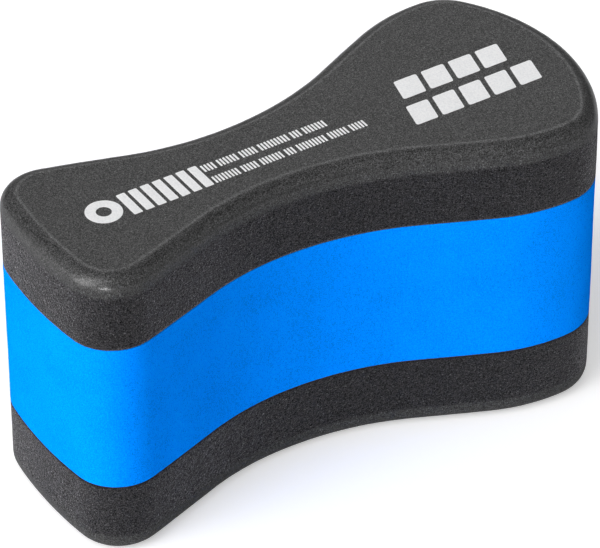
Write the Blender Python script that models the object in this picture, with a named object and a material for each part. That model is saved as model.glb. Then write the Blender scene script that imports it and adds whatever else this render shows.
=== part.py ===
"""Pull buoy: three layers of closed-cell foam, cut to an hourglass outline and bonded together.

Metres, +Z up. The origin is at the middle of the underside. +X runs along the
length towards the wide lobe, and the narrow lobe lies towards -X. Every layer
is the same outline extruded upwards; only the outer rims of the two black
layers are rounded over. Plain ink shapes are printed on the top face.
"""

import math

import bmesh
import bpy
import numpy as np

MM = 0.001

# ---- layers, from the underside up ------------------------------------------
LENGTH = 240 * MM              # over both lobes
BLACK_LAYER = 32.5 * MM        # each black layer, from its outer face to the glue line
BLUE_LAYER = 66 * MM           # between the two glue lines
LOWER_JOINT = BLACK_LAYER      # height of the lower glue line
UPPER_JOINT = LOWER_JOINT + BLUE_LAYER
TOP_FACE = UPPER_JOINT + BLACK_LAYER

FILM = 0.3 * MM                # thickness of a glue film
FILM_CLEAR = 0.2 * MM          # space between a film and the foam on each side
FILM_INSET = 0.3 * MM          # the glue stops this far inside the cut side
JOINT_TO_FOAM = 0.5 * FILM + FILM_CLEAR

# Rounded rim of a black layer, a quadratic curve from the face to the straight side.
RIM_INSET = 6.5 * MM           # how far the face is drawn in
RIM_DROP = 7.0 * MM            # distance from the face to the end of the curve
RIM_SAG = 0.6 * MM             # distance from the face to the curve's control point
RIM_STEPS = 5

# ---- outline dimensions -----------------------------------------------------
# Half outline, from the middle of the wide end to the middle of the narrow end:
# a chain of tangent arcs, each (radius, length). A negative radius bends inwards,
# and a very large one is almost straight. The finished chain is scaled to LENGTH.
FIXED_ARCS = [
    (81 * MM, 51 * MM),        # wide end
    (23 * MM, 21 * MM),        # wide corner
    (75 * MM, 33.5 * MM),      # wide flank
    (1300 * MM, 30 * MM),      # wide neck
    (-137 * MM, 61.5 * MM),    # waist, wide side
    (-120 * MM, 37 * MM),      # waist, narrow side
    (2200 * MM, 36 * MM),      # narrow flank
]
# The last two arcs have only radii: closing the outline settles their lengths.
NARROW_CORNER_RADIUS = 19.5 * MM
NARROW_END_RADIUS = 190 * MM

EASE = 4 * MM                  # length over which one radius passes into the next
EASE_SAMPLES = 9               # headings averaged over that length
OUTLINE_STEPS = 72             # segments along each half of the outline
TRACE_RATIO = 8                # traced steps per outline segment
TRACE_STEPS = OUTLINE_STEPS * TRACE_RATIO
CLOSING_ROUNDS = 60            # halvings in the search for the closing length

# ---- printing dimensions ----------------------------------------------------
INK = 0.1 * MM                 # thickness of the ink
INK_CLEAR = 0.05 * MM          # space between the ink and the foam
INK_BASE = TOP_FACE + INK_CLEAR
INK_TOP = INK_BASE + INK

DISC_CENTRE = (-89.5 * MM, -0.7 * MM)
DISC_RADIUS = 7.2 * MM
DISC_HOLE_RADIUS = 3 * MM
DISC_STEPS = 48

NOTE_HEIGHT = 5.4 * MM
PLAIN_ENDS = (0.0, 0.6 * MM)   # lean of the ends (run over rise), corner radius
BADGE_ENDS = (0.25, 3 * MM)
CORNER_STEPS = 5
# Each bar: name, centre (x, y), size (x, y), ends.
BARS = [
    ("print_heading_bar", (-63.2 * MM, -1.4 * MM), (35 * MM, 14 * MM), PLAIN_ENDS),
    ("print_note_line_upper", (-17 * MM, 2.2 * MM), (55 * MM, NOTE_HEIGHT), PLAIN_ENDS),
    ("print_note_line_lower", (-10.5 * MM, -6 * MM), (68 * MM, NOTE_HEIGHT), PLAIN_ENDS),
    ("print_badge_upper", (70.5 * MM, 4.7 * MM), (50 * MM, 11.8 * MM), BADGE_ENDS),
    ("print_badge_lower", (70.2 * MM, -12 * MM), (60 * MM, 12.4 * MM), BADGE_ENDS),
]

SMOOTH_LIMIT = math.radians(40.0)  # edges that bend more than this are shaded sharp


# ---- outline ----------------------------------------------------------------
def turned(arcs):
    """Arc length and angle turned at the end of each arc, both starting at zero."""
    lengths = np.cumsum([0.0] + [length for _, length in arcs])
    turns = np.cumsum([0.0] + [length / radius for radius, length in arcs])
    return lengths, turns


def turn_at(distance, arcs):
    """Angle turned at each distance. Past either end the chain is mirrored."""
    lengths, turns = turned(arcs)
    total, whole = lengths[-1], turns[-1]
    before, after = distance < 0, distance > total
    folded = np.where(before, -distance, np.where(after, 2 * total - distance, distance))
    turn = np.interp(folded, lengths, turns)
    return np.where(before, -turn, np.where(after, 2 * whole - turn, turn))


def running_sum(slope, step):
    """Integral of slope by the trapezium rule, starting at zero."""
    return np.concatenate([[0.0], np.cumsum(0.5 * (slope[1:] + slope[:-1]) * step)])


def trace(arcs):
    """Points and headings along the half outline, leaving the origin along +Y."""
    total = turned(arcs)[0][-1]
    distance = np.linspace(0.0, total, TRACE_STEPS + 1)
    window = (np.arange(EASE_SAMPLES) + 0.5) / EASE_SAMPLES - 0.5
    turn = np.mean([turn_at(distance + EASE * offset, arcs) for offset in window], axis=0)
    heading = math.pi / 2 + turn
    step = total / TRACE_STEPS
    return running_sum(np.cos(heading), step), running_sum(np.sin(heading), step), heading


def closed_chain():
    """All the arcs, the last two settled so the chain turns half a circle and ends at y = 0."""
    turn_left = math.pi - sum(length / radius for radius, length in FIXED_ARCS)

    def chain(corner_length):
        end_turn = turn_left - corner_length / NARROW_CORNER_RADIUS
        return FIXED_ARCS + [
            (NARROW_CORNER_RADIUS, corner_length),
            (NARROW_END_RADIUS, end_turn * NARROW_END_RADIUS),
        ]

    low, high = 0.0, turn_left * NARROW_CORNER_RADIUS
    for _ in range(CLOSING_ROUNDS):
        middle = 0.5 * (low + high)
        if trace(chain(middle))[1][-1] > 0.0:
            high = middle
        else:
            low = middle
    return chain(0.5 * (low + high))


def outline():
    """Closed outline, anticlockwise from the wide end, LENGTH long and centred.

    Each row is a point and its outward normal: (x, y, out_x, out_y).
    """
    x, y, heading = trace(closed_chain())
    scale = LENGTH / (x.max() - x.min())
    x = (x - 0.5 * (x.max() + x.min())) * scale
    y = y * scale
    half = [
        (x[i], y[i], math.sin(heading[i]), -math.cos(heading[i]))
        for i in range(0, TRACE_STEPS + 1, TRACE_RATIO)
    ]
    # The two end points lie exactly on the centre line.
    half[0] = (half[0][0], 0.0, 1.0, 0.0)
    half[-1] = (half[-1][0], 0.0, -1.0, 0.0)
    mirrored = [(x, -y, out_x, -out_y) for x, y, out_x, out_y in reversed(half[1:-1])]
    return half + mirrored


# ---- materials and meshes ---------------------------------------------------
def material(name, colour, roughness):
    made = bpy.data.materials.new(name)
    made.use_nodes = True
    shader = made.node_tree.nodes["Principled BSDF"]
    shader.inputs["Base Color"].default_value = (*colour, 1.0)
    shader.inputs["Roughness"].default_value = roughness
    shader.inputs["Metallic"].default_value = 0.0
    return made


def add_object(name, builder, finish):
    """Turn a bmesh into a smooth-shaded object in the scene."""
    builder.normal_update()
    mesh = bpy.data.meshes.new(name)
    builder.to_mesh(mesh)
    builder.free()
    mesh.shade_smooth()
    mesh.set_sharp_from_angle(angle=SMOOTH_LIMIT)
    mesh.materials.append(finish)
    bpy.context.scene.collection.objects.link(bpy.data.objects.new(name, mesh))


def add_loops(builder, rings):
    return [[builder.verts.new(point) for point in ring] for ring in rings]


def join_loops(builder, first, second):
    """A band of quads between two loops of equal length."""
    for i in range(len(first)):
        j = (i + 1) % len(first)
        builder.faces.new((first[i], first[j], second[j], second[i]))


def add_stack(name, rings, finish):
    """A closed solid through rings listed from the bottom up, each anticlockwise."""
    builder = bmesh.new()
    loops = add_loops(builder, rings)
    builder.faces.new(list(reversed(loops[0])))
    builder.faces.new(loops[-1])
    for lower, upper in zip(loops[:-1], loops[1:]):
        join_loops(builder, lower, upper)
    add_object(name, builder, finish)


# ---- foam and glue ----------------------------------------------------------
def rim_curve():
    """(inset, depth) pairs of a rounded rim, from the face to the straight side."""
    pairs = []
    for i in range(RIM_STEPS + 1):
        along = i / RIM_STEPS
        depth = 2 * along * (1 - along) * RIM_SAG + along * along * RIM_DROP
        pairs.append(((1 - along) ** 2 * RIM_INSET, depth))
    return pairs


def ring_at(plan, inset, z):
    return [(x - inset * out_x, y - inset * out_y, z) for x, y, out_x, out_y in plan]


def foam_slab(name, plan, bottom, top, finish, round_bottom=False, round_top=False):
    """A foam layer between two heights, with an optional rounded rim at either face."""
    square_edge = [(0.0, 0.0)]
    lower_edge = rim_curve() if round_bottom else square_edge
    upper_edge = rim_curve() if round_top else square_edge
    rings = [ring_at(plan, inset, bottom + depth) for inset, depth in lower_edge]
    rings += [ring_at(plan, inset, top - depth) for inset, depth in reversed(upper_edge)]
    add_stack(name, rings, finish)


def bond_film(name, plan, joint, finish):
    """A glue film centred on a glue line, a little inside the foam's cut side."""
    heights = (joint - 0.5 * FILM, joint + 0.5 * FILM)
    add_stack(name, [ring_at(plan, FILM_INSET, z) for z in heights], finish)


# ---- printing ---------------------------------------------------------------
def bar_outline(centre, size, slant, corner):
    """A rounded bar, anticlockwise, its ends leaning by slant."""
    half_x, half_y = 0.5 * size[0] - corner, 0.5 * size[1] - corner
    points = []
    for quadrant, (side_x, side_y) in enumerate(((1, 1), (-1, 1), (-1, -1), (1, -1))):
        for step in range(CORNER_STEPS + 1):
            angle = math.radians(90.0 * (quadrant + step / CORNER_STEPS))
            x = side_x * half_x + corner * math.cos(angle)
            y = side_y * half_y + corner * math.sin(angle)
            points.append((centre[0] + x + slant * y, centre[1] + y))
    return points


def ink_bar(name, centre, size, ends, finish):
    points = bar_outline(centre, size, *ends)
    add_stack(name, [[(x, y, z) for x, y in points] for z in (INK_BASE, INK_TOP)], finish)


def disc_circle(radius, z):
    angles = [2 * math.pi * i / DISC_STEPS for i in range(DISC_STEPS)]
    return [
        (DISC_CENTRE[0] + radius * math.cos(angle), DISC_CENTRE[1] + radius * math.sin(angle), z)
        for angle in angles
    ]


def ink_disc(finish):
    """A flat disc with a round hole: four circles joined in turn, the last to the first."""
    builder = bmesh.new()
    loops = add_loops(builder, [
        disc_circle(DISC_RADIUS, INK_BASE),
        disc_circle(DISC_RADIUS, INK_TOP),
        disc_circle(DISC_HOLE_RADIUS, INK_TOP),
        disc_circle(DISC_HOLE_RADIUS, INK_BASE),
    ])
    for first, second in zip(loops, loops[1:] + loops[:1]):
        join_loops(builder, first, second)
    add_object("print_disc", builder, finish)


# ---- assembly ---------------------------------------------------------------
def add_foam(plan):
    black = material("black_foam", colour=(0.062, 0.060, 0.062), roughness=0.85)
    blue = material("blue_foam", colour=(0.0, 0.24, 1.0), roughness=0.80)
    foam_slab("bottom_foam_slab", plan, 0.0, LOWER_JOINT - JOINT_TO_FOAM, black,
              round_bottom=True)
    foam_slab("centre_foam_slab", plan, LOWER_JOINT + JOINT_TO_FOAM,
              UPPER_JOINT - JOINT_TO_FOAM, blue)
    foam_slab("top_foam_slab", plan, UPPER_JOINT + JOINT_TO_FOAM, TOP_FACE, black,
              round_top=True)


def add_glue(plan):
    glue = material("glue", colour=(0.03, 0.04, 0.06), roughness=0.45)
    bond_film("lower_bond_film", plan, LOWER_JOINT, glue)
    bond_film("upper_bond_film", plan, UPPER_JOINT, glue)


def add_printing():
    ink = material("white_ink", colour=(0.88, 0.89, 0.91), roughness=0.55)
    ink_disc(ink)
    for name, centre, size, ends in BARS:
        ink_bar(name, centre, size, ends, ink)


for old in list(bpy.data.objects):
    bpy.data.objects.remove(old, do_unlink=True)

buoy_plan = outline()
add_foam(buoy_plan)
add_glue(buoy_plan)
add_printing()
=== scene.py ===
"""Foam pull buoy: two black foam layers round a blue one, with white printing on top.

It lies flat and centred on the origin: its length along X, the wide end at +X and the narrow
end at -X, the layers stacked along Z and the printed face up.
"""

import math

import bpy
import numpy as np
from mathutils import Matrix, Vector, noise
from mathutils.geometry import delaunay_2d_cdt


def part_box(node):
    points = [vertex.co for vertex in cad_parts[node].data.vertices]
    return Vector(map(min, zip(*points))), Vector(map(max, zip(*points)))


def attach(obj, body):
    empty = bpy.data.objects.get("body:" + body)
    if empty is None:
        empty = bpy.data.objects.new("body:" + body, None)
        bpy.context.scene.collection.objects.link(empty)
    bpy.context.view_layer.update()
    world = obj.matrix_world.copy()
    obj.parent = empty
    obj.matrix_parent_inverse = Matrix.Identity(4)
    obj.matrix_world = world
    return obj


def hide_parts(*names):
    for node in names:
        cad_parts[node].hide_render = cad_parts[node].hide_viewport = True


MM = 0.001


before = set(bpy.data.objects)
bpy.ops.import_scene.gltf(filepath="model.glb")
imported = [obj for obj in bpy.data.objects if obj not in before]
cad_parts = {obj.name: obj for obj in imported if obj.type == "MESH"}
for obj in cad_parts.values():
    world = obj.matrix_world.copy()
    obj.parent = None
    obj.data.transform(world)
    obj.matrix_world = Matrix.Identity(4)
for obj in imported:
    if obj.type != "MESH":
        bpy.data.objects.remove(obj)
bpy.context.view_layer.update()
z_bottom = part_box("bottom_foam_slab")[0].z
z_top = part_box("top_foam_slab")[1].z

# ---- sizes ------------------------------------------------------------------
LENGTH = 240 * MM
# Half of the plan outline, from the wide end to the narrow flank: (radius, arc length).
# A negative radius curves inwards.
ARCS = [
    (81 * MM, 51 * MM),      # wide end
    (23 * MM, 21 * MM),      # wide corner
    (75 * MM, 33.5 * MM),    # wide flank
    (1300 * MM, 30 * MM),    # wide neck
    (-137 * MM, 61.5 * MM),  # waist, wide side
    (-120 * MM, 37 * MM),    # waist, narrow side
    (2200 * MM, 36 * MM),    # narrow flank
]
# The lengths of the last two arcs follow from closing the outline.
NARROW_CORNER_RADIUS = 19.5 * MM
NARROW_END_RADIUS = 190 * MM
EASE = 4 * MM                # length over which one arc's curvature passes into the next
EASE_SAMPLES = 9
CLOSING_STEPS = 576          # steps along the half outline while it is being closed
HALF_STEPS = 394             # mesh steps along the half outline
SUBSTEPS = 2                 # finer steps traced within each mesh step

CELL = 0.8 * MM              # height of a mesh cell on the upright side
FACE_SPACING = 0.95 * MM     # between mesh points on a visible face
GLUED_SPACING = 6 * MM       # and on a glued face
FILM_GAP = 0.02 * MM         # between the foam and a bond film
RIM_IN, RIM_DROP, RIM_SAG = 6.5 * MM, 7.0 * MM, 0.9 * MM
RIM_STEPS = 16
SKIN_DEPTH = 8.9 * MM        # the pressed skin ends this far below the face
SKIN_FADE = 0.7 * MM
CREASE_WIDTH = 0.6 * MM
# The crease inside the rim: (inset, height above the face, crease weight).
CREASE = [
    (RIM_IN + 1.1 * MM, 0.0, 0.0),
    (RIM_IN + 0.6 * MM, 0.06 * MM, 0.5),
    (RIM_IN, 0.12 * MM, 1.0),
]
# The crisp edge of a sawn face: (inset, depth below the face).
SAWN_EDGE = [(0.45 * MM, 0.0), (0.12 * MM, 0.05 * MM), (0.0, 0.3 * MM)]

# Unevenness of the foam: height and width of slow waves, dimples and grain.
SLOW, SLOW_SIZE = 0.16 * MM, 26 * MM
DIMPLE, DIMPLE_SIZE = 0.05 * MM, 5 * MM
GRAIN, GRAIN_SIZE = 0.035 * MM, 0.9 * MM
FLAT_MARGIN = 1.2 * MM       # the unevenness fades out this close to a glued face
BOTTOM_SEED, CENTRE_SEED, TOP_SEED = 1, 2, 3

INK_LOW, INK_HIGH = 0.05 * MM, 0.11 * MM   # the ink's underside and face, above the foam
DISC_RADIUS, DISC_HOLE = 7.2 * MM, 3.0 * MM
BAR_EDGE, BAR_SPACING = 1.6 * MM, 1.8 * MM  # longest edge and point spacing in a printed bar

HEADING = dict(gap=1.5 * MM, radius=0.5 * MM)
NOTE = dict(gap=0.65 * MM, word_gap=1.7 * MM, radius=0.12 * MM, inset=0.55 * MM)
BADGE = dict(gap=2.2 * MM, slant=0.25, radius=1.0 * MM)
# Rows of printed bars: (name, node, bars in each group, style).
ROWS = [
    ("ink_heading", "print_heading_bar", [7], HEADING),
    ("ink_note_upper", "print_note_line_upper", [4, 6, 5, 9, 3, 7], NOTE),
    ("ink_note_lower", "print_note_line_lower", [8, 5, 7, 3, 9, 6, 5], NOTE),
    ("ink_badge_upper", "print_badge_upper", [4], BADGE),
    ("ink_badge_lower", "print_badge_lower", [5], BADGE),
]


def new_mesh(name, coords, faces):
    mesh = bpy.data.meshes.new(name)
    mesh.from_pydata(coords, [], faces)
    return mesh


def add_object(name, data):
    made = bpy.data.objects.new(name, data)
    bpy.context.scene.collection.objects.link(made)
    return made


# ---- plan outline -----------------------------------------------------------
def turn_at(along, arcs):
    """Angle turned at each distance along the arcs, mirrored beyond both ends."""
    lengths = np.cumsum([0.0] + [length for _, length in arcs])
    turns = np.cumsum([0.0] + [length / radius for radius, length in arcs])
    total, whole = lengths[-1], turns[-1]
    beyond = along > total
    folded = np.where(along < 0, -along, np.where(beyond, 2 * total - along, along))
    turn = np.interp(folded, lengths, turns)
    return np.where(along < 0, -turn, np.where(beyond, 2 * whole - turn, turn))


def running_sum(slope, step):
    """Integral of the slope by the trapezium rule, from 0."""
    return np.concatenate([[0.0], np.cumsum(0.5 * (slope[1:] + slope[:-1]) * step)])


def trace(arcs, steps):
    """x, y and heading along the arcs, which set off from the origin towards +Y."""
    total = sum(length for _, length in arcs)
    along = np.linspace(0.0, total, steps + 1)
    window = (np.arange(EASE_SAMPLES) + 0.5) / EASE_SAMPLES - 0.5
    turns = [turn_at(along + EASE * offset, arcs) for offset in window]
    heading = math.pi / 2 + np.mean(turns, axis=0)
    step = total / steps
    return running_sum(np.cos(heading), step), running_sum(np.sin(heading), step), heading


def closed_arcs():
    """ARCS with a narrow corner and end that bring the half outline back to the X axis."""
    left = math.pi - sum(length / radius for radius, length in ARCS)

    def chain(corner_length):
        end_turn = left - corner_length / NARROW_CORNER_RADIUS
        return ARCS + [
            (NARROW_CORNER_RADIUS, corner_length),
            (NARROW_END_RADIUS, end_turn * NARROW_END_RADIUS),
        ]

    low, high = 0.0, left * NARROW_CORNER_RADIUS
    for _ in range(60):
        middle = 0.5 * (low + high)
        if trace(chain(middle), CLOSING_STEPS)[1][-1] > 0.0:
            high = middle
        else:
            low = middle
    return chain(0.5 * (low + high))


def outline():
    """Points (n, 2) and outward normals (n, 2), anticlockwise from the wide end."""
    fine = HALF_STEPS * SUBSTEPS
    x, y, heading = trace(closed_arcs(), fine)
    scale = LENGTH / (x.max() - x.min())
    x = (x - 0.5 * (x.max() + x.min())) * scale
    y = (y - y[-1] * np.linspace(0, 1, fine + 1)) * scale
    points = np.stack([x, y], 1)[::SUBSTEPS]
    normals = np.stack([np.sin(heading), -np.cos(heading)], 1)[::SUBSTEPS]
    back = slice(-2, 0, -1)
    flip = np.array([1.0, -1.0])
    return (
        np.concatenate([points, points[back] * flip]),
        np.concatenate([normals, normals[back] * flip]),
    )


# ---- filling a flat ring ----------------------------------------------------
def inside(points, ring):
    """Which of the points lie inside the closed ring."""
    hit = np.zeros(len(points), bool)
    for (ax, ay), (bx, by) in zip(ring, np.roll(ring, -1, axis=0)):
        crosses = (ay > points[:, 1]) != (by > points[:, 1])
        if by != ay:
            hit ^= crosses & (points[:, 0] < (bx - ax) * (points[:, 1] - ay) / (by - ay) + ax)
    return hit


def fill_points(ring, spacing):
    """A triangular lattice of points inside the ring, kept off its edge."""
    low, high = ring.min(0), ring.max(0)
    row_pitch = 0.866
    rows = int((high[1] - low[1]) / (spacing * row_pitch)) + 2
    columns = int((high[0] - low[0]) / spacing) + 2
    lattice = []
    for r in range(rows):
        y = low[1] + r * spacing * row_pitch
        shift = 0.5 * spacing if r % 2 else 0.0
        xs = low[0] + shift + np.arange(columns) * spacing
        lattice.append(np.stack([xs, np.full(len(xs), y)], 1))
    points = np.concatenate(lattice)
    points = points[inside(points, ring)]
    keep = []
    # in blocks, to limit the memory that the distances take
    for start in range(0, len(points), 4000):
        block = points[start : start + 4000]
        gap = np.min(((block[:, None] - ring[None]) ** 2).sum(2), axis=1)
        keep.append(block[gap > (0.62 * spacing) ** 2])
    return np.concatenate(keep)


def cap(ring, spacing):
    """Triangles that fill the ring: points, triangles and each point's index before filling.

    The ring's own points have the indices below len(ring)."""
    points = [Vector(p) for p in np.concatenate([ring, fill_points(ring, spacing)])]
    count = len(ring)
    edges = [(i, (i + 1) % count) for i in range(count)]
    found = delaunay_2d_cdt(points, edges, [], 1, 1e-9)
    origins = [origin[0] if origin else None for origin in found[3]]
    return found[0], found[2], origins


# ---- foam layers ------------------------------------------------------------
def layered_noise(place, size):
    """Two octaves of noise, the coarser with features about size across; about -1 to 1."""
    point = place / size
    total, gain, norm = 0.0, 1.0, 0.0
    for _ in range(2):
        total += gain * noise.noise(point)
        norm += gain
        point = point * 2.03 + Vector((11.3, 4.7, 8.1))
        gain *= 0.5
    return total / norm


def noise_shift(seed):
    return Vector((seed * 3.1, seed * 1.7, seed * 5.3)) * 0.1


def swell(place):
    """Height of the slow waves and the dimples."""
    return SLOW * layered_noise(place, SLOW_SIZE) + DIMPLE * layered_noise(place, DIMPLE_SIZE)


def edge_levels(face, outward, rounded_over):
    """Levels from a face out to the side. outward is 1 for an upper face, -1 for a lower."""
    if not rounded_over:
        return [(inset, face - outward * depth, 0.0, 0.0) for inset, depth in SAWN_EDGE]
    levels = [(inset, face + outward * rise, mark, 1.0) for inset, rise, mark in CREASE]
    for i in range(1, RIM_STEPS + 1):
        t = i / RIM_STEPS
        inset = (1 - t) ** 2 * RIM_IN
        depth = 2 * t * (1 - t) * RIM_SAG + t * t * RIM_DROP
        mark = math.exp(-(((RIM_IN - inset) / CREASE_WIDTH) ** 2))
        levels.append((inset, face - outward * depth, mark, 1.0))
    return levels


def side_levels(lower, upper):
    """(inset, height, crease weight, skin weight) of each level up the side of a layer.

    lower and upper are its faces: (height, whether the rim is rounded over)."""
    low_edge = edge_levels(lower[0], -1, lower[1])
    high_edge = edge_levels(upper[0], 1, upper[1])

    def pressed(z):
        depths = [abs(z - face) for face, rounded_over in (lower, upper) if rounded_over]
        if not depths:
            return 0.0
        return min(1.0, max(0.0, (SKIN_DEPTH - min(depths)) / SKIN_FADE))

    low, high = low_edge[-1][1], high_edge[-1][1]
    count = max(1, round((high - low) / CELL))
    heights = [low + (high - low) * i / count for i in range(1, count)]
    return low_edge + [(0.0, z, 0.0, pressed(z)) for z in heights] + high_edge[::-1]


def roughen(mesh, sawn_faces, seed):
    """Moves each point along its normal by the waves, the dimples and the cells' grain."""
    count = len(mesh.vertices)
    coords, normals = np.zeros(count * 3), np.zeros(count * 3)
    mesh.vertices.foreach_get("co", coords)
    mesh.vertices.foreach_get("normal", normals)
    coords, normals = coords.reshape(-1, 3), normals.reshape(-1, 3)
    shift = noise_shift(seed)
    move = np.zeros(count)
    for i in range(count):
        place = Vector(coords[i]) + shift
        move[i] = swell(place) + GRAIN * noise.noise(place / GRAIN_SIZE)
    # The glued faces stay flat, and so does the very edge of each cut.
    for face in sawn_faces:
        move *= np.clip(np.abs(coords[:, 2] - face) / FLAT_MARGIN, 0, 1)
    coords += normals * move[:, None]
    mesh.vertices.foreach_set("co", coords.ravel())
    mesh.update()


def foam_layer(name, plan, normals, lower, upper, seed):
    """One foam layer as a closed mesh. lower and upper are (height, rim rounded over)."""
    levels = side_levels(lower, upper)
    count = len(plan)
    coords, crease, skin = [], [], []
    for inset, z, mark, skinned in levels:
        coords += [(x, y, z) for x, y in plan - inset * normals]
        crease += [mark] * count
        skin += [skinned] * count
    faces = []
    last_ring = (len(levels) - 1) * count
    for start in range(0, last_ring, count):
        for i in range(count):
            here, beside = start + i, start + (i + 1) % count
            faces.append((here, beside, beside + count, here + count))

    for start, (inset, z, _, _), shown, up in (
        (0, levels[0], lower[1], False),
        (last_ring, levels[-1], upper[1], True),
    ):
        spacing = FACE_SPACING if shown else GLUED_SPACING
        points, triangles, origins = cap(plan - inset * normals, spacing)
        index = []
        for point, origin in zip(points, origins):
            if origin is not None and origin < count:
                index.append(start + origin)
            else:
                index.append(len(coords))
                coords.append((point[0], point[1], z))
                crease.append(0.0)
                skin.append(1.0 if shown else 0.0)
        for triangle in triangles:
            corners = [index[k] for k in triangle]
            faces.append(tuple(corners if up else reversed(corners)))

    mesh = new_mesh(name, coords, faces)
    mesh.validate()
    mesh.update()
    roughen(mesh, [z for z, rounded_over in (lower, upper) if not rounded_over], seed)
    for key, values in (("crease", crease), ("skin", skin)):
        attribute = mesh.attributes.new(key, "FLOAT", "POINT")
        attribute.data.foreach_set("value", np.array(values, np.float32))
    mesh.shade_smooth()
    return add_object(name, mesh)


def build_foam():
    """The bottom, centre and top layers."""
    plan, normals = outline()
    lower_film, upper_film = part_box("lower_bond_film"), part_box("upper_bond_film")
    bottom_cut, centre_low = lower_film[0].z - FILM_GAP, lower_film[1].z + FILM_GAP
    centre_high, top_cut = upper_film[0].z - FILM_GAP, upper_film[1].z + FILM_GAP
    return [
        foam_layer(name, plan, normals, lower, upper, seed)
        for name, lower, upper, seed in (
            ("foam_bottom", (z_bottom, True), (bottom_cut, False), BOTTOM_SEED),
            ("foam_centre", (centre_low, False), (centre_high, False), CENTRE_SEED),
            ("foam_top", (top_cut, False), (z_top, True), TOP_SEED),
        )
    ]


# ---- printing on the top face -----------------------------------------------
def top_height(x, y):
    """Height of the uneven top face at x, y, without its finest grain."""
    return z_top + swell(Vector((x, y, z_top)) + noise_shift(TOP_SEED))


def rounded(corners, radius, steps=4):
    """The closed polygon with each corner turned into a curve."""
    made = []
    count = len(corners)
    for i in range(count):
        before, at, after = (Vector(corners[k % count]) for k in (i - 1, i, i + 1))
        into, out = (before - at).normalized(), (after - at).normalized()
        reach = radius / math.tan(0.5 * into.angle(out))
        start, end = at + into * reach, at + out * reach
        for k in range(steps + 1):
            t = k / steps
            made.append(tuple((1 - t) ** 2 * start + 2 * t * (1 - t) * at + t * t * end))
    return made


def refined(ring, longest):
    """The ring with its long edges divided."""
    made = []
    for start, end in zip(ring, ring[1:] + ring[:1]):
        start, end = np.array(start), np.array(end)
        parts = max(1, math.ceil(float(np.linalg.norm(end - start)) / longest))
        made += [tuple(start + (end - start) * k / parts) for k in range(parts)]
    return made


def stroke(x0, x1, y0, y1, slant, radius):
    """A filled upright bar: (points, faces). slant moves its top along x."""
    lean = 0.5 * slant * (y1 - y0)
    corners = [(x0 - lean, y0), (x1 - lean, y0), (x1 + lean, y1), (x0 + lean, y1)]
    ring = np.array(refined(rounded(corners, radius), BAR_EDGE))
    points, triangles, _ = cap(ring, BAR_SPACING)
    return [tuple(p) for p in points], [tuple(t) for t in triangles]


def row(node, counts, gap, radius, word_gap=0.0, slant=0.0, inset=0.0):
    """Plain bars side by side across the node's box, in groups of the given counts."""
    low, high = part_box(node)
    lean = 0.5 * slant * (high.y - low.y)
    x, x1, y0, y1 = low.x + lean, high.x - lean, low.y + inset, high.y - inset
    bars, groups = sum(counts), len(counts)
    width = (x1 - x - gap * (bars - groups) - word_gap * (groups - 1)) / bars
    made = []
    for count in counts:
        for _ in range(count):
            made.append(stroke(x, x + width, y0, y1, slant, radius))
            x += width + gap
        x += word_gap - gap
    return made


def annulus(node, outer, inner, steps=72, bands=3):
    """A flat ring in the middle of the node's box: (points, faces)."""
    low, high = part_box(node)
    x, y = 0.5 * (low.x + high.x), 0.5 * (low.y + high.y)
    points, faces = [], []
    for band in range(bands + 1):
        radius = outer + (inner - outer) * band / bands
        for k in range(steps):
            angle = 2 * math.pi * k / steps
            points.append((x + radius * math.cos(angle), y + radius * math.sin(angle)))
    for band in range(bands):
        for k in range(steps):
            here, beside = band * steps + k, band * steps + (k + 1) % steps
            faces.append((here, beside, beside + steps, here + steps))
    return points, faces


def ink_piece(name, patches):
    """A thin closed film over each flat patch, following the face below it."""
    coords, faces = [], []
    for points, filled in patches:
        count, first = len(points), len(coords)
        heights = [top_height(x, y) for x, y in points]
        for lift in (INK_HIGH, INK_LOW):
            coords += [(x, y, height + lift) for (x, y), height in zip(points, heights)]
        edges = set()
        for face in filled:
            faces.append(tuple(first + k for k in face))
            faces.append(tuple(first + count + k for k in reversed(face)))
            edges |= set(zip(face, face[1:] + face[:1]))
        # an edge used one way only lies on the patch's border and gets a wall
        for i, j in sorted(edges):
            if (j, i) not in edges:
                faces.append((first + j, first + i, first + count + i, first + count + j))
    mesh = new_mesh(name, coords, faces)
    mesh.validate()
    return add_object(name, mesh)


def build_printing():
    """(object, node) of each printed piece."""
    disc = annulus("print_disc", DISC_RADIUS, DISC_HOLE)
    made = [(ink_piece("ink_disc", [disc]), "print_disc")]
    for name, node, counts, style in ROWS:
        made.append((ink_piece(name, row(node, counts, **style)), node))
    return made


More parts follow.
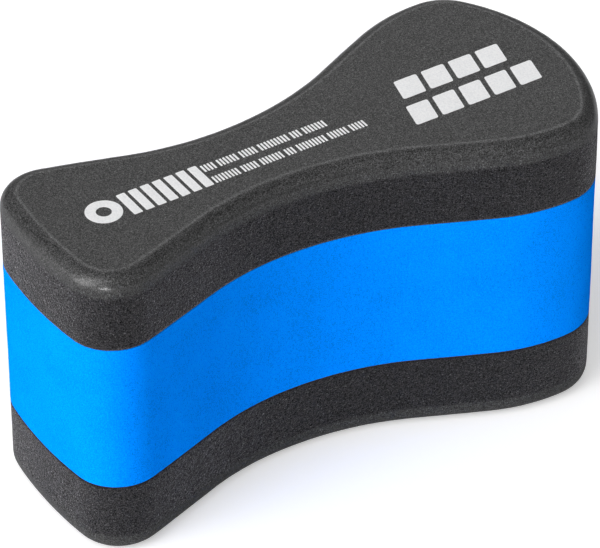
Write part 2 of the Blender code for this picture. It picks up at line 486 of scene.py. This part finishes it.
# ---- materials --------------------------------------------------------------
class Nodes:
    """Adds and links the shader nodes of one tree."""

    def __init__(self, tree):
        self.tree = tree

    def put(self, socket, value):
        if isinstance(value, bpy.types.NodeSocket):
            self.tree.links.new(value, socket)
        else:
            socket.default_value = value

    def add(self, kind, **values):
        node = self.tree.nodes.new(kind)
        for key, value in values.items():
            if key in node.inputs:
                self.put(node.inputs[key], value)
            else:
                setattr(node, key, value)
        return node

    def math(self, operation, first, second):
        node = self.add("ShaderNodeMath", operation=operation)
        for socket, value in zip(node.inputs, (first, second, 0.0)):
            self.put(socket, value)
        return node.outputs[0]

    def plus(self, first, second):
        return self.math("ADD", first, second)

    def times(self, first, second):
        return self.math("MULTIPLY", first, second)

    def noise(self, where, scale, detail=2.0, rough=0.5):
        """Noise with scale features to a metre."""
        return self.add(
            "ShaderNodeTexNoise", Vector=where, Scale=scale, Detail=detail, Roughness=rough
        ).outputs["Fac"]

    def span(self, value, between, to=(0.0, 1.0)):
        """The value carried from one range to another and held within it."""
        node = self.add("ShaderNodeMapRange", clamp=True, Value=value)
        names = ("From Min", "From Max", "To Min", "To Max")
        for name, limit in zip(names, (*between, *to)):
            self.put(node.inputs[name], limit)
        return node.outputs["Result"]

    def blend(self, factor, first, second, mode="MIX"):
        node = self.add("ShaderNodeMix", data_type="RGBA", blend_type=mode, clamp_factor=True)
        self.put(node.inputs["Factor"], factor)
        for socket, value in ((node.inputs[6], first), (node.inputs[7], second)):
            is_socket = isinstance(value, bpy.types.NodeSocket)
            self.put(socket, value if is_socket else (*value, 1.0))
        return node.outputs[2]


def new_material(name):
    """The material, its nodes, its shader's inputs and the object coordinates."""
    made = bpy.data.materials.new(name)
    made.use_nodes = True
    made.node_tree.nodes.clear()
    nodes = Nodes(made.node_tree)
    output = nodes.add("ShaderNodeOutputMaterial")
    shader = nodes.add("ShaderNodeBsdfPrincipled")
    nodes.put(output.inputs["Surface"], shader.outputs[0])
    where = nodes.add("ShaderNodeTexCoord").outputs["Object"]
    return made, nodes, shader.inputs, where


def foam_material(
    name, cut_and_shade, skinned, contrast, speck, bump_height,
    cut_sheen=0.0, coat=0.0, crease_gain=0.0, tint=(1, 1, 1),
):
    """Closed-cell foam: light and dark cells, sparse bright cell walls and a paler crease.

    The sawn side's colour is dusty with opened cells, and it is set darker than the skin partly
    as painted shade, since the sides get less light than the face; skinned is the colour of the
    smoother pressed face and rim. contrast and speck are the strengths of the cells and the
    bright walls, cut_sheen and coat the shine of the sawn side and of the skin."""
    made, nodes, inputs, where = new_material(name)
    plus, times, span = nodes.plus, nodes.times, nodes.span
    skin = nodes.add("ShaderNodeAttribute", attribute_name="skin").outputs["Fac"]
    open_cells = nodes.math("SUBTRACT", 1.0, skin)
    normal = nodes.add("ShaderNodeNewGeometry").outputs["Normal"]
    facing = nodes.add("ShaderNodeSeparateXYZ", Vector=normal).outputs["Z"]

    fine = nodes.noise(where, scale=2300.0, rough=0.75)
    fine = span(fine, between=(0.36, 0.64), to=(-1.0, 1.0))
    coarse = span(nodes.noise(where, scale=900.0), between=(0.34, 0.66), to=(-1.0, 1.0))
    patches = nodes.noise(where, scale=55.0, detail=3.0, rough=0.55)
    patches = span(patches, between=(0.3, 0.7), to=(-1.0, 1.0))
    cells = plus(times(fine, 1.0), times(coarse, 0.22))
    # the face shows its cells most, the rolled edge less and the sawn sides least
    on_skin = span(facing, between=(0.5, 1.0), to=(0.55 * contrast, contrast))
    cells = times(cells, span(skin, between=(0.0, 1.0), to=(0.45 * contrast, on_skin)))
    cells = plus(cells, times(patches, 0.05))
    walls = nodes.noise(where, scale=1700.0, detail=1.0)
    walls = span(walls, between=(0.63, 0.74), to=(0.0, speck))
    crease = nodes.add("ShaderNodeAttribute", attribute_name="crease").outputs["Fac"]
    gain = plus(plus(cells, 1.0), plus(walls, times(crease, crease_gain)))
    gain = nodes.math("MAXIMUM", gain, 0.08)
    shade = nodes.add("ShaderNodeCombineColor", Red=gain, Green=gain, Blue=gain).outputs[0]
    # the sawn sides take the darker colour: partly their finish, partly painted shade
    base = nodes.blend(1.0, nodes.blend(skin, cut_and_shade, skinned), shade, "MULTIPLY")
    nodes.put(inputs["Base Color"], base)

    roughness = span(nodes.noise(where, scale=420.0), between=(0.3, 0.7), to=(0.5, 0.62))
    nodes.put(inputs["Roughness"], roughness)
    nodes.put(inputs["Specular IOR Level"], 0.0)
    nodes.put(inputs["Sheen Weight"], times(open_cells, times(gain, cut_sheen)))
    nodes.put(inputs["Sheen Roughness"], 0.5)
    nodes.put(inputs["Sheen Tint"], (*tint, 1.0))

    pebbles = times(nodes.noise(where, scale=1450.0, rough=0.6), 0.75)
    height = plus(pebbles, times(nodes.noise(where, scale=520.0), 0.6))
    strength = span(skin, between=(0.0, 1.0), to=(0.9, 0.5))
    bump = nodes.add(
        "ShaderNodeBump", Strength=strength, Distance=bump_height, Height=height
    )
    nodes.put(inputs["Normal"], bump.outputs[0])
    pressed = nodes.add(
        "ShaderNodeBump", Strength=0.9, Distance=0.2 * bump_height, Height=height
    )
    # the skin is shiny over the face and the rolled edge and duller on the upright strip
    glaze = span(facing, between=(0.0, 0.35), to=(0.5 * coat, coat))
    nodes.put(inputs["Coat Weight"], times(skin, glaze))
    nodes.put(inputs["Coat Roughness"], 0.28)
    nodes.put(inputs["Coat Normal"], pressed.outputs[0])
    return made


def black_foam():
    # the sawn colour is darker than the skinned one partly as painted shade on the sides
    return foam_material(
        "foam_black", cut_and_shade=(0.0150, 0.0147, 0.0159), skinned=(0.0405, 0.0405, 0.0409),
        contrast=1.9, speck=2.4, bump_height=0.55 * MM,
        cut_sheen=0.265, coat=0.85, crease_gain=1.6, tint=(0.985, 0.965, 1.0),
    )


def blue_foam():
    blue = (0.0005, 0.245, 1.0)
    return foam_material(
        "foam_blue", cut_and_shade=blue, skinned=blue, contrast=0.5, speck=0.3, bump_height=0.22 * MM
    )


def film_surface(nodes, inputs, where, rough_scale, roughness, bump_scale, strength):
    """The uneven roughness and the bumps of the glue and the ink."""
    rough = nodes.span(nodes.noise(where, rough_scale), between=(0.3, 0.7), to=roughness)
    nodes.put(inputs["Roughness"], rough)
    height = nodes.noise(where, bump_scale)
    bump = nodes.add("ShaderNodeBump", Strength=strength, Distance=0.2 * MM, Height=height)
    nodes.put(inputs["Normal"], bump.outputs[0])


def glue_material():
    made, nodes, inputs, where = new_material("contact_adhesive")
    mottle = nodes.noise(where, scale=700.0, detail=3.0)
    base = nodes.blend(mottle, (0.015, 0.016, 0.020), (0.05, 0.045, 0.045))
    nodes.put(inputs["Base Color"], base)
    film_surface(
        nodes, inputs, where,
        rough_scale=300.0, roughness=(0.4, 0.6), bump_scale=900.0, strength=0.4,
    )
    return made


def ink_material():
    made, nodes, inputs, where = new_material("white_ink")
    pores = nodes.span(nodes.noise(where, scale=1500.0, rough=0.6), between=(0.28, 0.6))
    base = nodes.blend(pores, (0.86, 0.87, 0.89), (0.98, 0.98, 0.985))
    nodes.put(inputs["Base Color"], base)
    film_surface(
        nodes, inputs, where,
        rough_scale=500.0, roughness=(0.5, 0.65), bump_scale=1300.0, strength=0.35,
    )
    return made


def floor_material():
    made, nodes, inputs, where = new_material("studio_floor")
    base = nodes.blend(nodes.noise(where, scale=3.0), (0.86, 0.86, 0.87), (0.88, 0.88, 0.885))
    nodes.put(inputs["Base Color"], base)
    nodes.put(inputs["Roughness"], 0.9)
    nodes.put(inputs["Specular IOR Level"], 0.0)
    # an overexposed white sweep: it adds a little glow where the camera sees it
    glow = 0.42
    seen = nodes.add("ShaderNodeLightPath").outputs["Is Camera Ray"]
    nodes.put(inputs["Emission Color"], (1.0, 1.0, 1.0, 1.0))
    nodes.put(inputs["Emission Strength"], nodes.times(seen, glow))
    return made


# ---- floor, light, camera ---------------------------------------------------
FLOOR_REACH = 6.0            # from the middle of the floor to each side
FLOOR_GAP = 0.2 * MM         # between the floor and the foam

# Soft boxes as smooth lobes of the surrounding light: (azimuth, elevation, sharpness, strength).
LOBES = [
    (82, 32, 14.0, 5.1),        # main soft box, off the narrow end
    (45, 4.0, 900.0, 200.0),    # small lamp below it, which makes the one small highlight
    (70, 65, 12.0, 1.5),        # the upper part of the same box
    (-15, 42, 12.0, 0.5),       # a little light from above the front
    (90, 45, 12.0, 2.0),        # a wide fill round it
    (98, 2, 20.0, 9.4),         # low fill on the narrow end
    (-147, 37, 12.0, 1.0),      # backdrop behind the top face
    (-60, 25, 12.0, 0.8),       # weak fill on the wide lobe
    (-90, 4, 14.0, 0.25),       # and at the wide end
]
SWEEP_WHITE = 1.25           # brightness of the surroundings as the camera sees them

# Camera: off the narrow end's front side, looking down at the printed face.
CAMERA_AZIMUTH, CAMERA_ELEVATION, CAMERA_ROLL = 32.741, 37.388, -0.191
CAMERA_DISTANCE = 1715.8 * MM
AIM_RIGHT, AIM_UP = -2.18 * MM, 51.04 * MM  # aim point from the origin, in the view plane
SENSOR_WIDTH, FOCAL_LENGTH = 36.0, 257.694  # in millimetres


def direction(azimuth, elevation):
    """Unit vector towards a place seen from the object: azimuth 0 is -Y, 90 -X, -90 +X."""
    azimuth, elevation = math.radians(azimuth), math.radians(elevation)
    level = math.cos(elevation)
    return Vector((-math.sin(azimuth) * level, -math.cos(azimuth) * level, math.sin(elevation)))


def studio_floor():
    corners = [
        (x * FLOOR_REACH, y * FLOOR_REACH, 0) for x, y in ((-1, -1), (1, -1), (1, 1), (-1, 1))
    ]
    floor = add_object("studio_floor", new_mesh("studio_floor", corners, [(0, 1, 2, 3)]))
    floor.location.z = z_bottom - FLOOR_GAP
    floor.data.materials.append(floor_material())


def studio_world():
    world = bpy.data.worlds.new("studio")
    bpy.context.scene.world = world
    world.use_nodes = True
    world.node_tree.nodes.clear()
    nodes = Nodes(world.node_tree)
    toward = nodes.add("ShaderNodeTexCoord").outputs["Generated"]
    total = 0.0
    for azimuth, elevation, sharpness, strength in LOBES:
        dot = nodes.add("ShaderNodeVectorMath", operation="DOT_PRODUCT")
        nodes.put(dot.inputs[0], toward)
        nodes.put(dot.inputs[1], direction(azimuth, elevation))
        facing = nodes.math("MAXIMUM", dot.outputs["Value"], 0.0)
        lobe = nodes.math("POWER", facing, sharpness)
        total = nodes.plus(nodes.times(lobe, strength), total)
    # seen past the floor's edge, the sweep is as white as the floor
    seen = nodes.add("ShaderNodeLightPath").outputs["Is Camera Ray"]
    strength = nodes.math("MAXIMUM", total, nodes.times(seen, SWEEP_WHITE))
    background = nodes.add("ShaderNodeBackground", Strength=strength)
    output = nodes.add("ShaderNodeOutputWorld")
    nodes.put(output.inputs["Surface"], background.outputs[0])


def studio_camera():
    back = direction(CAMERA_AZIMUTH, CAMERA_ELEVATION)
    right = (-back).cross(Vector((0, 0, 1))).normalized()
    up = right.cross(-back)
    roll = math.radians(CAMERA_ROLL)
    right, up = (
        math.cos(roll) * right + math.sin(roll) * up,
        math.cos(roll) * up - math.sin(roll) * right,
    )
    place = Matrix((right, up, back)).transposed().to_4x4()
    place.translation = AIM_RIGHT * right + AIM_UP * up + CAMERA_DISTANCE * back
    data = bpy.data.cameras.new("studio_camera")
    data.sensor_fit = "HORIZONTAL"
    data.sensor_width = SENSOR_WIDTH
    data.lens = FOCAL_LENGTH
    data.clip_start, data.clip_end = 0.05, 50.0
    camera = add_object("studio_camera", data)
    camera.matrix_world = place
    bpy.context.scene.camera = camera


# ---- assembly ---------------------------------------------------------------
def fit(piece, node, finish):
    """Paints the piece and puts it in the node's place."""
    piece.data.materials.append(finish)
    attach(piece, "root")
    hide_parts(node)


bottom, centre, top = build_foam()
printing = build_printing()

black, blue = black_foam(), blue_foam()
fit(bottom, "bottom_foam_slab", black)
fit(centre, "centre_foam_slab", blue)
fit(top, "top_foam_slab", black)

glue, ink = glue_material(), ink_material()
for film in ("lower_bond_film", "upper_bond_film"):
    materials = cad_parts[film].data.materials
    materials.clear()
    materials.append(glue)
for piece, node in printing:
    fit(piece, node, ink)

studio_floor()
studio_world()
studio_camera()
view = bpy.context.scene.view_settings
view.view_transform = "Standard"
view.look = "None"
